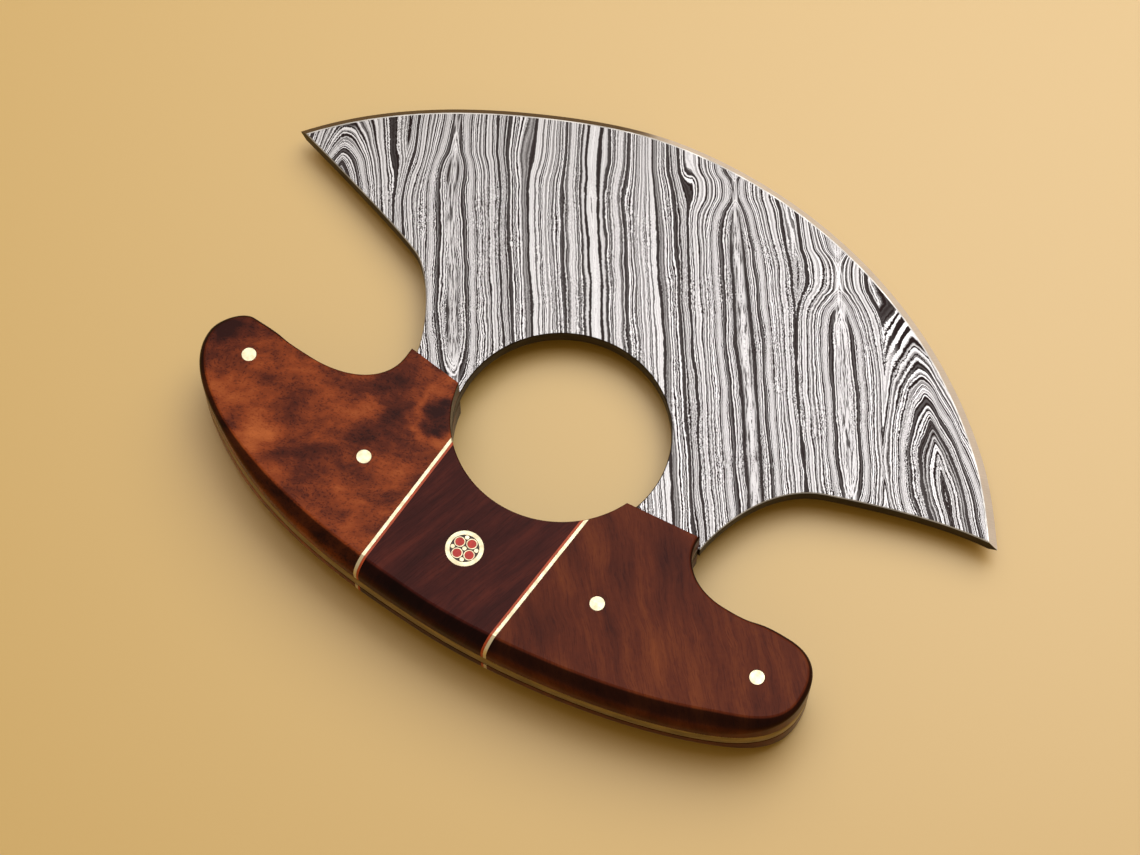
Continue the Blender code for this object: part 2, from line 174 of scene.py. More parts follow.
def addLamp(name, at, size, power):
    data = bpy.data.lights.new(name, "AREA")
    data.shape = "SQUARE"
    data.size = size
    data.energy = power
    lamp = bpy.data.objects.new(name, data)
    lamp.location = at
    lamp.rotation_euler = Vector(at).to_track_quat("Z", "Y").to_euler()
    bpy.context.collection.objects.link(lamp)


def lightRoom():
    world = bpy.data.worlds.new("room")
    world.use_nodes = True
    bpy.context.scene.world = world
    tree = world.node_tree
    tree.nodes.clear()
    lit = tree.nodes.new("ShaderNodeBackground")
    lit.inputs["Color"].default_value = (*light["roomTint"], 1)
    lit.inputs["Strength"].default_value = light["room"]
    seen = tree.nodes.new("ShaderNodeBackground")
    seen.inputs["Color"].default_value = (*light["skyTint"], 1)
    seen.inputs["Strength"].default_value = 1.0
    path = tree.nodes.new("ShaderNodeLightPath")
    mix = tree.nodes.new("ShaderNodeMixShader")
    out = tree.nodes.new("ShaderNodeOutputWorld")
    shown = signal(tree, path.outputs["Is Camera Ray"]).calc("MAXIMUM", path.outputs["Is Glossy Ray"])
    feed(mix.inputs[0], shown)
    tree.links.new(lit.outputs[0], mix.inputs[1])
    tree.links.new(seen.outputs[0], mix.inputs[2])
    tree.links.new(mix.outputs[0], out.inputs["Surface"])
    addLamp("softBox", light["boxAt"], light["boxSize"], light["boxPower"])
    addLamp("overLamp", light["overAt"], light["overSize"], light["overPower"])
    bpy.context.scene.view_settings.view_transform = "Standard"


# node tools: a signal is a number that a material works out at each point of a surface
class signal:
    def __init__(self, tree, socket):
        self.tree = tree
        self.socket = socket

    def calc(self, operation, *others):
        node = self.tree.nodes.new("ShaderNodeMath")
        node.operation = operation
        for socket, value in zip(node.inputs, (self, *others)):
            feed(socket, value)
        return signal(self.tree, node.outputs[0])

    def __add__(self, other):
        return self.calc("ADD", other)

    def __sub__(self, other):
        return self.calc("SUBTRACT", other)

    def __mul__(self, other):
        return self.calc("MULTIPLY", other)

    def __truediv__(self, other):
        return self.calc("DIVIDE", other)

    def bell(self, width):
        scaled = self / width
        return (scaled * scaled * -1.0).calc("EXPONENT")

    def ease(self, start, end, low=0.0, high=1.0, kind="SMOOTHSTEP"):
        node = self.tree.nodes.new("ShaderNodeMapRange")
        node.interpolation_type = kind
        for name, value in (("Value", self), ("From Min", start), ("From Max", end),
                            ("To Min", low), ("To Max", high)):
            feed(node.inputs[name], value)
        return signal(self.tree, node.outputs[0])

    # a curve through a few knots, which gives a height for each place along the signal
    def curve(self, knots):
        first, last = knots[0][0], knots[-1][0]
        lowest = min(height for _, height in knots)
        span = max(height for _, height in knots) - lowest
        node = self.tree.nodes.new("ShaderNodeFloatCurve")
        line = node.mapping.curves[0]
        while len(line.points) < len(knots):
            line.points.new(0.5, 0.5)
        for point, (place, height) in zip(line.points, knots):
            point.location = ((place - first) / (last - first), (height - lowest) / span)
        node.mapping.update()
        feed(node.inputs["Value"], self.ease(first, last, kind="LINEAR"))
        return signal(self.tree, node.outputs[0]) * span + lowest


def feed(socket, value):
    if isinstance(value, signal):
        value.tree.links.new(value.socket, socket)
    elif isinstance(value, bpy.types.NodeSocket):
        value.id_data.links.new(value, socket)
    else:
        socket.default_value = value


def startMaterial(name):
    material = bpy.data.materials.new(name)
    material.use_nodes = True
    tree = material.node_tree
    shader = tree.nodes["Principled BSDF"]
    return material, tree, shader


# a place on the knife, measured in millimetres along one direction of the knife's own plan
def along(tree, direction):
    place = tree.nodes.get("place") or tree.nodes.new("ShaderNodeTexCoord")
    place.name = "place"
    axis = restMatrix.to_3x3() @ Vector(direction)
    node = tree.nodes.new("ShaderNodeVectorMath")
    node.operation = "DOT_PRODUCT"
    feed(node.inputs[0], place.outputs["Object"])
    node.inputs[1].default_value = axis / mm
    return signal(tree, node.outputs["Value"]) - axis.dot(restMatrix.translation) / mm


# the place in the plan as three signals, X, Y and Z
def planPlace(tree):
    return [along(tree, axis) for axis in ((1, 0, 0), (0, 1, 0), (0, 0, 1))]


def bundle(tree, x, y=0.0, z=0.0):
    node = tree.nodes.new("ShaderNodeCombineXYZ")
    for socket, value in zip(node.inputs, (x, y, z)):
        feed(socket, value)
    return node.outputs[0]


# noise over a line or a space, with one cell for each unit of the place
def speckle(tree, place, detail=1.0, roughness=0.5):
    node = tree.nodes.new("ShaderNodeTexNoise")
    if isinstance(place, signal):
        node.noise_dimensions = "1D"
        feed(node.inputs["W"], place)
    else:
        feed(node.inputs["Vector"], place)
    node.inputs["Scale"].default_value = 1.0
    node.inputs["Detail"].default_value = detail
    node.inputs["Roughness"].default_value = roughness
    return signal(tree, node.outputs[0])


# noise whose cells have a size in millimetres along each of two or three places; another seed
# gives another pattern
def grains(tree, places, sizes, seed=0.0, detail=1.0, roughness=0.5):
    scaled = [place / size for place, size in zip(places, sizes)]
    third = scaled[2] + seed if len(scaled) == 3 else seed
    return speckle(tree, bundle(tree, scaled[0], scaled[1], third), detail, roughness)


def colourRamp(tree, value, stops):
    node = tree.nodes.new("ShaderNodeValToRGB")
    points = node.color_ramp.elements
    while len(points) < len(stops):
        points.new(0.5)
    for point, (place, colour) in zip(points, stops):
        point.position = place
        point.color = (*colour, 1)
    feed(node.inputs[0], value)
    return node.outputs[0]


def blendColour(tree, share, first, second):
    node = tree.nodes.new("ShaderNodeMix")
    node.data_type = "RGBA"
    feed(node.inputs[0], share)
    for socket, colour in ((node.inputs[6], first), (node.inputs[7], second)):
        feed(socket, colour if isinstance(colour, bpy.types.NodeSocket) else (*colour, 1))
    return node.outputs[2]


def dimmed(colour, share):
    return tuple(part * share for part in colour)


def addBump(tree, shader, height, strength, distance):
    node = tree.nodes.new("ShaderNodeBump")
    node.inputs["Strength"].default_value = strength
    node.inputs["Distance"].default_value = distance * mm
    feed(node.inputs["Height"], height)
    feed(shader.inputs["Normal"], node.outputs[0])


# folded steel: layers that show as lines where the forged surface is ground through them.
# p runs across the grain and q along it, both in millimetres; sizes are (across, along) the grain
steel = {
    "grain": -56.0,             # the way that the layers run over the blade, in degrees
    "breakRadius": 88.3,        # outside it the blade thins, and the lines fan out from the pinches
    "breakDrift": 0.095,
    "breakSoftness": 2.5,
    "fan": 0.24,
    "fanMost": 1.9,
    "fanSoftness": 0.5,
    "fanCalm": 0.45,            # how much of the waver is left where the lines fan most
    "lean": 0.12, "leanEnds": (20, 60),
    "wander": 1.6, "wanderSize": (8, 30),
    "slow": 1.1, "slowSize": (3, 9),
    "ragged": 0.40, "raggedSize": (0.9, 1.5),
    "fine": 0.35, "fineSize": (0.35, 0.45),
    # patches where the fine waver grows and the lines look torn; ends are the two levels of the
    # noise between which a thing comes in
    "tornSize": (9, 14), "tornEnds": (0.46, 0.62), "tornWaver": (0.55, 2.2),
    # fine lines in the light heart of a crest
    "hairSize": (0.28, 5.0), "hairEnds": (0.43, 0.53), "hairTones": (0.10, 0.80), "hairWander": 0.5,
    # strong lines and fine pale threads; scales count layers for each millimetre of depth
    "lineScale": 3.2, "lineEnds": (0.475, 0.525),
    "threadScale": 7.0, "threadEnds": (0.38, 0.58), "threadTones": (0.55, 0.97),
    # the stretches where the strong lines show, which are also those near a crest
    "busyScale": 0.30, "busyEnds": (0.40, 0.52), "nearEnds": (0.35, 0.6),
    # broad dark bands and single dark seams
    "bandScale": 0.95, "bandEnds": (0.62, 0.66), "bandNear": 0.07, "bandDark": 0.9,
    "seamScale": 0.45, "seamWidth": 0.04, "seamDark": 0.8,
    "light": (0.465, 0.455, 0.470),
    "dark": (0.012, 0.006, 0.006),
    "metallic": 0.85, "darkRoughness": 0.58, "lightRoughness": 0.36,
    # where the fan pulls lines to the right (1) or left (-1); pinches and crests are the zeros
    "pulls": [(-34, 1), (-30, 0), (-25, -0.7), (-17, 0), (-11, 0.7), (-4, 0), (4, -0.8), (12.7, 0),
              (16, 0.4), (20.4, 0), (24, -0.3), (28.1, 0), (33, 0.6), (38, 0), (43, -0.8), (47.8, 0),
              (53, 0.8), (58.5, 0), (64, -0.7), (69.8, 0), (75, 0.7), (80, 0), (85, -0.6), (90.2, 0),
              (95, 0.6), (99.8, 0), (104, -0.8)],
    # crests: place across the grain, lean, plateau, depth, half width of the light heart, how far
    # their strong lines and their closings reach aside, and the closings along the grain, as
    # (place, height)
    "crests": [
        {"at": -30.0, "lean": 0.0, "flat": 0.3, "depth": -0.6, "heart": 0.0, "crispReach": 4.0,
         "reach": 8.0,
         "closings": [(-108, 10), (-100, 6.5), (-94, 2.5), (-89, 0.4), (-84, 0), (-70, 0)]},
        {"at": -4.0, "lean": 0.03, "flat": 0.2, "depth": 1.25, "heart": 1.0, "crispReach": 3.0,
         "reach": 5.0,
         "closings": [(-106, 3.4), (-98, 1.9), (-93, 0), (-88, 1.0), (-66, 0.9), (-58, 0.3), (-50, 0.9),
                      (-44, 2.4), (-36, 6), (-24, 10)]},
        {"at": 58.5, "lean": 0.035, "flat": 0.2, "depth": 1.15, "heart": 1.0, "crispReach": 4.0,
         "reach": 7.0,
         "closings": [(-106, 0), (-96, 0.3), (-92, 1.8), (-88.4, 3.4), (-85, 2.4), (-79, 0.3),
                      (-70, 0), (-10, 0)]},
        {"at": 79.8, "lean": 0.01, "flat": 0.15, "depth": 2.45, "heart": 1.4, "crispReach": 5.0,
         "reach": 9.0,
         "closings": [(-84, 0.5), (-74, 2.2), (-66, 5.2), (-62, 3.8), (-56, 0.8), (-50, 0), (-22, 0),
                      (-12, 3)]},
        {"at": 92.8, "lean": 0.16, "flat": 0.3, "depth": -2.3, "heart": 0.0, "crispReach": 6.0,
         "reach": 16.0,
         "closings": [(-60, 14), (-46, 10.5), (-38, 7.5), (-30, 4.2), (-22, 1.2), (-15, 0),
                      (-10, 0.5)]},
    ],
    "crestMiddle": -60,         # the place along the grain from which a crest leans
}


# how deep the layer is that shows at each place, how near a crest is, and the crests' light hearts
def steelLayers(tree):
    angle = math.radians(steel["grain"])
    p = along(tree, (-math.sin(angle), math.cos(angle), 0))
    q = along(tree, (math.cos(angle), math.sin(angle), 0))
    x, y = planPlace(tree)[:2]
    y = y - blade["edgeCentreY"]
    radius = (x * x + y * y).calc("SQRT") - p * steel["breakDrift"]
    over = (radius - steel["breakRadius"]).calc("SMOOTH_MAX", 0.0, steel["breakSoftness"])
    fan = (over * steel["fan"]).calc("SMOOTH_MIN", steel["fanMost"], steel["fanSoftness"])

    # s is p with the lines drawn together and apart
    wander = grains(tree, (p, q), steel["wanderSize"]) - 0.5
    s = p + wander * steel["wander"] - fan * p.curve(steel["pulls"]) \
        - over * p.ease(*steel["leanEnds"], steel["lean"], 0.0)
    depth = near = heart = None
    for crest in steel["crests"]:
        aside = s - (q - steel["crestMiddle"]) * crest["lean"] - crest["at"]
        flank = (aside * aside + crest["flat"] ** 2).calc("SQRT")
        fade = (flank * (-1 / crest["reach"])).calc("EXPONENT")
        climb = flank + q.curve(crest["closings"]) * fade + crest["depth"]
        centre = (flank * (-1 / crest["crispReach"])).calc("EXPONENT")
        depth = climb if depth is None else depth.calc("MINIMUM", climb)
        near = centre if near is None else near.calc("MAXIMUM", centre)
        if crest["heart"]:
            core = flank.ease(crest["heart"] * 0.6, crest["heart"] * 1.4, 1.0, 0.0)
            heart = core if heart is None else heart + core

    slow = grains(tree, (p, q), steel["slowSize"], seed=5) - 0.5
    ragged = grains(tree, (p, q), steel["raggedSize"], seed=9, detail=2.0, roughness=0.6) - 0.5
    fine = grains(tree, (p, q), steel["fineSize"], seed=13) - 0.5
    torn = grains(tree, (p, q), steel["tornSize"], seed=21).ease(*steel["tornEnds"], *steel["tornWaver"])
    hairs = grains(tree, (s + ragged * steel["hairWander"], q), steel["hairSize"], seed=33)
    hairs = hairs.ease(*steel["hairEnds"], *steel["hairTones"])
    calm = fan.ease(0.5, steel["fanMost"], 1.0, steel["fanCalm"])
    waver = (slow * steel["slow"] + ragged * steel["ragged"] + fine * torn * steel["fine"]) * calm
    return depth + waver, near, heart * hairs


def foldedSteel():
    material, tree, shader = startMaterial("foldedSteel")
    depth, near, heart = steelLayers(tree)
    lines = speckle(tree, depth * steel["lineScale"], 1.0, 0.6).ease(*steel["lineEnds"])
    threads = speckle(tree, depth * steel["threadScale"] + 90, 1.0, 0.8)
    threads = threads.ease(*steel["threadEnds"], *steel["threadTones"])
    busy = speckle(tree, depth * steel["busyScale"] + 17).ease(*steel["busyEnds"])
    busy = busy.calc("MAXIMUM", near.ease(*steel["nearEnds"]))
    bands = speckle(tree, depth * steel["bandScale"] + 40, 0.0) + near * steel["bandNear"]
    bands = bands.ease(*steel["bandEnds"])
    seams = (speckle(tree, depth * steel["seamScale"] + 70, 0.0) - 0.5).bell(steel["seamWidth"])
    tone = threads + (lines - threads) * busy
    tone = tone * (bands * -steel["bandDark"] + 1) * (seams * -steel["seamDark"] + 1)
    tone = tone.calc("MAXIMUM", heart)
    feed(shader.inputs["Base Color"], blendColour(tree, tone, steel["dark"], steel["light"]))
    shader.inputs["Metallic"].default_value = steel["metallic"]
    feed(shader.inputs["Roughness"],
         tone.ease(0, 1, steel["darkRoughness"], steel["lightRoughness"], "LINEAR"))
    addBump(tree, shader, tone, strength=0.4, distance=0.02)
    return material


# the ground bevel: bright and finely scored, with painted shade on its left part, where it faces down
# towards the floor under the blade
bevel = {
    "colour": (0.80, 0.74, 0.72), "paintedShadeColour": (0.085, 0.050, 0.028),
    "shadeAngles": (99, 107),   # where the painted shade begins and where it is full, from the edge's centre
    "shadeDrift": 8.0,
    "cloudSize": 5,
    "scores": 9.0,              # scores for each degree of the edge
}


def bevelSteel(name):
    material, tree, shader = startMaterial(name)
    x, y = planPlace(tree)[:2]
    y = y - blade["edgeCentreY"]
    angle = y.calc("ARCTAN2", x) * math.degrees(1)
    cloud = grains(tree, (x, y), [bevel["cloudSize"]] * 2, detail=3.0, roughness=0.6) - 0.5
    score = speckle(tree, angle * bevel["scores"], 2.0, 0.7) - 0.5
    bright = blendColour(tree, score + cloud * 0.8 + 0.6, dimmed(bevel["colour"], 0.7), bevel["colour"])
    # painted shade: the bevel's left part is blended towards a dark brown
    left = (angle + cloud * bevel["shadeDrift"]).ease(*bevel["shadeAngles"])
    feed(shader.inputs["Base Color"], blendColour(tree, left, bright, bevel["paintedShadeColour"]))
    feed(shader.inputs["Metallic"], left.ease(0, 1, 0.45, 0.75, "LINEAR"))
    feed(shader.inputs["Roughness"], score.ease(-0.3, 0.3, 0.5, 0.38))
    return material


# the blade's other metal: walls dark from the etch and darker still as painted shade, the tang's sanded
# edge with a painted golden reflection, the bright arris
metals = {
    # painted shade: the walls' near-black colour adds the shade under the blade to the etch's darkening
    "etchedShadedWall": {"colour": (0.034, 0.020, 0.008), "roughness": 0.48, "metallic": 0.8},
    # painted reflection: the tang's golden tint stands in for the golden floor that the sanded steel
    # reflects
    "sandedTang": {"colour": (0.31, 0.225, 0.10), "roughness": 0.42, "metallic": 0.9},
    "brightArris": {"colour": (0.50, 0.48, 0.46), "roughness": 0.40, "metallic": 0.9},
}


def wornSteel(name):
    look = metals[name]
    material, tree, shader = startMaterial(name)
    place = planPlace(tree)
    cloud = grains(tree, place, (6, 6, 2), detail=3.0, roughness=0.6)
    scratch = grains(tree, place, (2, 2, 0.1), detail=2.0, roughness=0.6)
    tone = cloud * 0.7 + scratch * 0.3
    feed(shader.inputs["Base Color"],
         blendColour(tree, tone.ease(0.35, 0.65), dimmed(look["colour"], 0.6), look["colour"]))
    shader.inputs["Metallic"].default_value = look["metallic"]
    feed(shader.inputs["Roughness"],
         tone.ease(0.3, 0.7, look["roughness"] * 1.15, look["roughness"] * 0.85))
    addBump(tree, shader, scratch, strength=0.3, distance=0.01)
    return material


brassLook = {"colour": (0.68, 0.60, 0.42), "roughness": 0.48, "cloudSize": 1.5}


def brass(name):
    material, tree, shader = startMaterial(name)
    colour, roughness = brassLook["colour"], brassLook["roughness"]
    cloud = grains(tree, planPlace(tree), [brassLook["cloudSize"]] * 3, detail=3.0, roughness=0.6)
    feed(shader.inputs["Base Color"],
         blendColour(tree, cloud.ease(0.3, 0.7), dimmed(colour, 0.88), colour))
    shader.inputs["Metallic"].default_value = 1.0
    feed(shader.inputs["Roughness"], cloud.ease(0.3, 0.7, roughness * 1.2, roughness * 0.8))
    return material


plastics = {
    "redFibre": {"colour": (0.52, 0.085, 0.030), "roughness": 0.5},
    "redCore": {"colour": (0.62, 0.035, 0.030), "roughness": 0.4},
    "darkResin": {"colour": (0.05, 0.025, 0.018), "roughness": 0.35},
}


def plainPlastic(name):
    look = plastics[name]
    material, tree, shader = startMaterial(name)
    cloud = grains(tree, planPlace(tree), (0.6, 2.5, 0.6), detail=3.0, roughness=0.6)
    feed(shader.inputs["Base Color"],
         blendColour(tree, cloud.ease(0.3, 0.7), dimmed(look["colour"], 0.7), look["colour"]))
    shader.inputs["Roughness"].default_value = look["roughness"]
    shader.inputs["Specular IOR Level"].default_value = 0.3
    return material


# woods: a figure in a colour ramp, drawn-out stripes, patches at their places on the handle as
# (x, y, reach, how much lighter), a knot, and pores along the grain, under a low oil polish.
# Lengths run along the grain and widths across it, in millimetres; grain is its angle in degrees
woods = {
    "amberBurl": {
        "stops": [(0.22, (0.028, 0.006, 0.005)), (0.40, (0.105, 0.021, 0.010)),
                  (0.56, (0.270, 0.057, 0.017)), (0.80, (0.48, 0.132, 0.040))],
        "grain": 25.0, "length": 9.0, "width": 6.0, "warp": 8.0, "detail": 5.0, "contrast": 0.85,
        "stripeLength": 6.0, "stripeWidth": 1.2, "stripes": 0.10,
        "mottle": 0.13,
        "patches": [(-66.0, 6.2, 4.0, 0.14), (-59.2, 5.3, 3.5, 0.08), (-50.5, -4.0, 5.5, 0.16),
                    (-43.2, 10.1, 4.0, 0.10), (-33.3, 14.3, 4.0, 0.08), (-21.2, 5.2, 2.5, 0.06),
                    (-48.2, 5.7, 4.0, -0.12), (-38.7, -2.3, 5.5, -0.10), (-31.9, 7.3, 4.0, -0.12),
                    (-71.0, 14.0, 6.5, -0.22), (-64.0, 18.5, 4.0, -0.14), (-27.0, 21.0, 9.0, -0.20)],
        "knot": (-21.0, 21.5), "knotRing": 5.6, "knotLift": 0.20, "knotDark": -0.16,
        "poreLength": 0.5, "poreWidth": 0.3, "poreDepth": 1.0, "roughness": 0.26,
    },
    "darkRosewood": {
        "stops": [(0.25, (0.020, 0.004, 0.004)), (0.50, (0.050, 0.010, 0.009)),
                  (0.75, (0.110, 0.022, 0.015))],
        "grain": 76.0, "length": 26.0, "width": 5.0, "warp": 1.5, "detail": 4.0, "contrast": 0.8,
        "stripeLength": 14.0, "stripeWidth": 0.5, "stripes": 0.22,
        "mottle": 0.08,
        "patches": [(4.0, -9.0, 7.0, 0.14), (-8.0, -4.0, 6.0, -0.04)],
        "knot": None,
        "poreLength": 3.0, "poreWidth": 0.22, "poreDepth": 0.9, "roughness": 0.28,
    },
    "redBrownWood": {
        "stops": [(0.25, (0.036, 0.007, 0.006)), (0.50, (0.108, 0.023, 0.011)),
                  (0.75, (0.215, 0.056, 0.018))],
        "grain": -47.0, "length": 24.0, "width": 4.0, "warp": 4.0, "detail": 4.0, "contrast": 0.64,
        "stripeLength": 12.0, "stripeWidth": 0.6, "stripes": 0.14, "mottle": 0.12,
        "patches": [(22.0, 6.0, 4.0, 0.06), (45.0, 6.0, 7.0, 0.07), (62.0, 3.0, 5.0, 0.06),
                    (22.0, -7.0, 5.0, -0.10), (36.0, 22.0, 5.0, -0.08)],
        "knot": None,
        "poreLength": 2.2, "poreWidth": 0.22, "poreDepth": 0.8, "roughness": 0.28,
    },
}


# what the three woods share
woodBody = {
    "warpSize": 14, "figureDepth": 7, "stripeDepth": 4, "poreDeep": 0.6,
    "driftSize": 4, "drift": 7.0,           # how far the patches' edges stray
    "knotWidth": 1.8, "knotHeart": 3.6,
    "mottleSize": 1.3, "poreShade": 0.10,
    "holeShade": 0.3,                       # painted shade: the wall of the finger hole is darkened to this share of its colour
    "polish": 0.05,
    # how light the wood is at a depth below its flat face: painted shade that darkens the rounding and
    # the walls below the face line
    "paintedShadeShare": [(0.0, 1.0), (0.06, 1.0), (0.28, 0.18), (1.3, 0.20), (2.6, 0.60), (6.0, 0.80)],
}


# the figure of a wood as one signal from dark to light, and its pores
def woodGrain(tree, look):
    angle = math.radians(look["grain"])
    a = along(tree, (math.cos(angle), math.sin(angle), 0))
    b = along(tree, (-math.sin(angle), math.cos(angle), 0))
    x, y, z = planPlace(tree)
    warp = grains(tree, (a, b, z), [woodBody["warpSize"]] * 3, detail=2.0) - 0.5
    place = (a, b + warp * look["warp"], z)
    figure = grains(tree, place, (look["length"], look["width"], woodBody["figureDepth"]),
                    detail=look["detail"], roughness=0.55)
    stripe = grains(tree, place, (look["stripeLength"], look["stripeWidth"], woodBody["stripeDepth"]),
                    detail=2.0) - 0.5
    tone = (figure - 0.5) * look["contrast"] + 0.5 + stripe * look["stripes"]

    stray = [(grains(tree, (x, y, z), [woodBody["driftSize"]] * 3, seed, detail=3.0) - 0.5)
             * woodBody["drift"] for seed in (0, 30)]
    driftX, driftY = x + stray[0], y + stray[1]
    for placeX, placeY, reach, lift in look["patches"]:
        dx, dy = driftX - placeX, driftY - placeY
        tone = tone + ((dx * dx + dy * dy) / -reach ** 2).calc("EXPONENT") * lift
    if look["knot"]:
        dx, dy = driftX - look["knot"][0], driftY - look["knot"][1]
        away = (dx * dx + dy * dy).calc("SQRT")
        tone = tone + (away - look["knotRing"]).bell(woodBody["knotWidth"]) * look["knotLift"] \
            + away.bell(woodBody["knotHeart"]) * look["knotDark"]

    pores = grains(tree, place, (look["poreLength"], look["poreWidth"], woodBody["poreDeep"]))
    mottle = grains(tree, (x, y, z), [woodBody["mottleSize"]] * 3, detail=4.0, roughness=0.65) - 0.5
    poreTone = (pores.ease(0.30, 0.48) - 1) * woodBody["poreShade"] * look["poreDepth"]
    return tone + poreTone + mottle * look["mottle"], pores


def wood(name):
    look = woods[name]
    material, tree, shader = startMaterial(name)
    tone, pores = woodGrain(tree, look)
    x, y, z = planPlace(tree)
    drop = z.calc("ABSOLUTE") * -1.0 + scaleFace
    offY = y - hole["y"]
    offHole = (x * x + offY * offY).calc("SQRT") - hole["radius"]
    # painted shade: the rounding and walls below the face, and the wall of the finger hole, are blended
    # towards black
    paintedShadeShare = drop.curve(woodBody["paintedShadeShare"]) * offHole.ease(0.02, 0.10, woodBody["holeShade"], 1.0)
    colour = colourRamp(tree, tone, look["stops"])
    feed(shader.inputs["Base Color"], blendColour(tree, paintedShadeShare, (0, 0, 0), colour))
    shader.inputs["Roughness"].default_value = look["roughness"]
    shader.inputs["Specular IOR Level"].default_value = woodBody["polish"]
    addBump(tree, shader, pores.ease(0.25, 0.42), strength=0.10, distance=0.02)
    return material


# outline tools, the same curves as the solids but in finer steps; a heading is an angle from +X
def heading(angle):
    return Vector((math.cos(math.radians(angle)), math.sin(math.radians(angle)), 0))


# a stretch between two knots, each a point and a heading; z is the width of the rounding there
def stretch(start, end, shares, steps, swell=None):
    here, leaving = start
    there, arriving = end
    reach = (there - here).to_2d().length
    leave = here + heading(leaving) * reach * shares[0]
    arrive = there - heading(arriving) * reach * shares[1]
    if swell is not None:
        leave.z = arrive.z = swell
    return interpolate_bezier(here, leave, arrive, there, steps + 1)[:-1]


def handleOutline(side):
    knots = [
        (Vector((side["waist"], handle["waistY"], handle["notchRound"])), -90),
        (Vector((*side["notch"], handle["notchRound"])), 0),
        (Vector((*side["crest"], handle["crestRound"])), 0),
        (Vector((*side["horn"], side["hornRound"])), -90),
        (Vector((*side["heel"], side["heelRound"])), 180 + side["heelSlope"]),
        (Vector((0, -handle["spineDepth"], handle["spineRound"])), 180),
    ]
    outline = []
    for start, end, shares in zip(knots, knots[1:-1], side["handleShares"]):
        outline += stretch(start, end, shares, handle["curveSteps"])
    return outline + stretch(*knots[-2:], side["handleShares"][-1], handle["spineSteps"],
                             handle["spineSwell"])


def hump(offset, reach):
    return math.cos(math.radians(90) * min(abs(offset) / reach, 1)) ** 2


# how far the cutting edge lies from its centre, in the direction of an angle in degrees
def edgeReach(angle):
    offset = angle - blade["dipAngle"]
    dip = hump(offset, blade["dipReachLeft"] if offset > 0 else blade["dipReachRight"])
    fall = hump(max(angle - blade["tipAngle"], 0), blade["tipFallReach"])
    return blade["edgeRadius"] - blade["dip"] * dip - blade["tipFall"] * fall


# from past the blade's tip down the wing to its root, then down the leg to the waist
def wingAndLeg(side):
    steps = handle["curveSteps"]
    tipAngle = blade["tipAngle"] if side is rightSide else 180 - blade["tipAngle"]
    tip = heading(blade["tipAngle"]) * edgeReach(tipAngle) + Vector((0, blade["edgeCentreY"], 0))
    slope = side["tipSlope"]
    knots = [(tip, 180 + slope), (Vector((*side["root"], 0)), 180 + blade["rootSlope"]),
             (Vector((side["leg"], handle["waistY"], 0)), -90)]
    wingShares, legShares = side["bladeShares"]
    wing = [tip + heading(slope) * blade["wingOverrun"]]
    wing += stretch(knots[0], knots[1], wingShares, steps * 2)
    leg = stretch(knots[1], knots[2], legShares, steps) + [knots[2][0]]
    return wing, leg


def insideNormals(points, closed=True):
    count = len(points)
    normals = []
    for i in range(count):
        before = points[i - 1] if closed or i else points[0]
        after = points[(i + 1) % count] if closed or i < count - 1 else points[-1]
        step = (after - before).to_2d().normalized()
        normals.append(Vector((-step.y, step.x, 0)))
    return normals


# the part of a line that lies inside the ground edge, in even steps
def clippedToEdge(points, side, back, steps):
    def over(point):
        angle = math.degrees(math.atan2(point.y, side["sign"] * point.x))
        return point.length - edgeReach(angle) + back

    centre = Vector((0, blade["edgeCentreY"], 0))
    i = next(i for i, point in enumerate(points) if over(point - centre) <= 0)
    outer, inner = points[i - 1] - centre, points[i] - centre
    low, high = 0.0, 1.0
    for _ in range(40):
        middle = (low + high) / 2
        if over(outer.lerp(inner, middle)) > 0:
            low = middle
        else:
            high = middle
    line = [points[i - 1].lerp(points[i], high)] + points[i:]
    lengths = [0.0]
    for a, b in zip(line, line[1:]):
        lengths.append(lengths[-1] + (b - a).length)
    even, j = [], 0
    for k in range(steps + 1):
        reach = lengths[-1] * k / steps
        while j < len(line) - 2 and lengths[j + 1] < reach:
            j += 1
        share = (reach - lengths[j]) / max(lengths[j + 1] - lengths[j], 1e-6)
        even.append(line[j].lerp(line[j + 1], min(max(share, 0), 1)))
    return even


# one ring of the blade: the sawn outline at an inset, the cutting edge ground back
def bladeRing(height, inset, back):
    halves = []
    for side in (rightSide, leftSide):
        wing, leg = wingAndLeg(side)
        grip = handleOutline(side)
        sawn = wing + leg + [Vector((p.x, p.y, 0)) for p in grip]
        sawn.append(Vector((0, -handle["spineDepth"], 0)))
        normals = insideNormals(sawn, closed=False)
        shoulder = side["shoulder"]
        moved = []
        for point, normal in zip(sawn, normals):
            held = min(max((shoulder - point.y) / blade["tangBlend"], 0), 1)
            depth = inset * (1 - held) + min(inset, blade["tangArris"]) * held
            moved.append(point - normal * depth)
        wingCount = len(wing) + 1
        wingLine = clippedToEdge(moved[:wingCount], side, back, 2 * handle["curveSteps"])
        halves.append(wingLine + moved[wingCount:])
    right, left = halves
    left = [Vector((-p.x, p.y, 0)) for p in left]
    centreY = blade["edgeCentreY"]
    first = math.degrees(math.atan2(right[0].y - centreY, right[0].x))
    last = math.degrees(math.atan2(left[0].y - centreY, left[0].x))
    count = blade["edgeSteps"]
    edge = []
    for i in range(1, count):
        angle = first + (last - first) * i / count
        edge.append(heading(angle) * (edgeReach(angle) - back) + Vector((0, centreY, 0)))
    ring = right[::-1] + edge + left[:-1]
    kinds = ["edge" if len(right) - 1 <= i < len(right) - 1 + count
             else "tang" if point.y < handle["tangBrightBelow"] else "sawn"
             for i, point in enumerate(ring)]
    return [Vector((p.x, p.y, height)) for p in ring], kinds


def finishMesh(name, shape):
    bmesh.ops.recalc_face_normals(shape, faces=shape.faces[:])
    mesh = bpy.data.meshes.new(name)
    shape.to_mesh(mesh)
    shape.free()
    return mesh


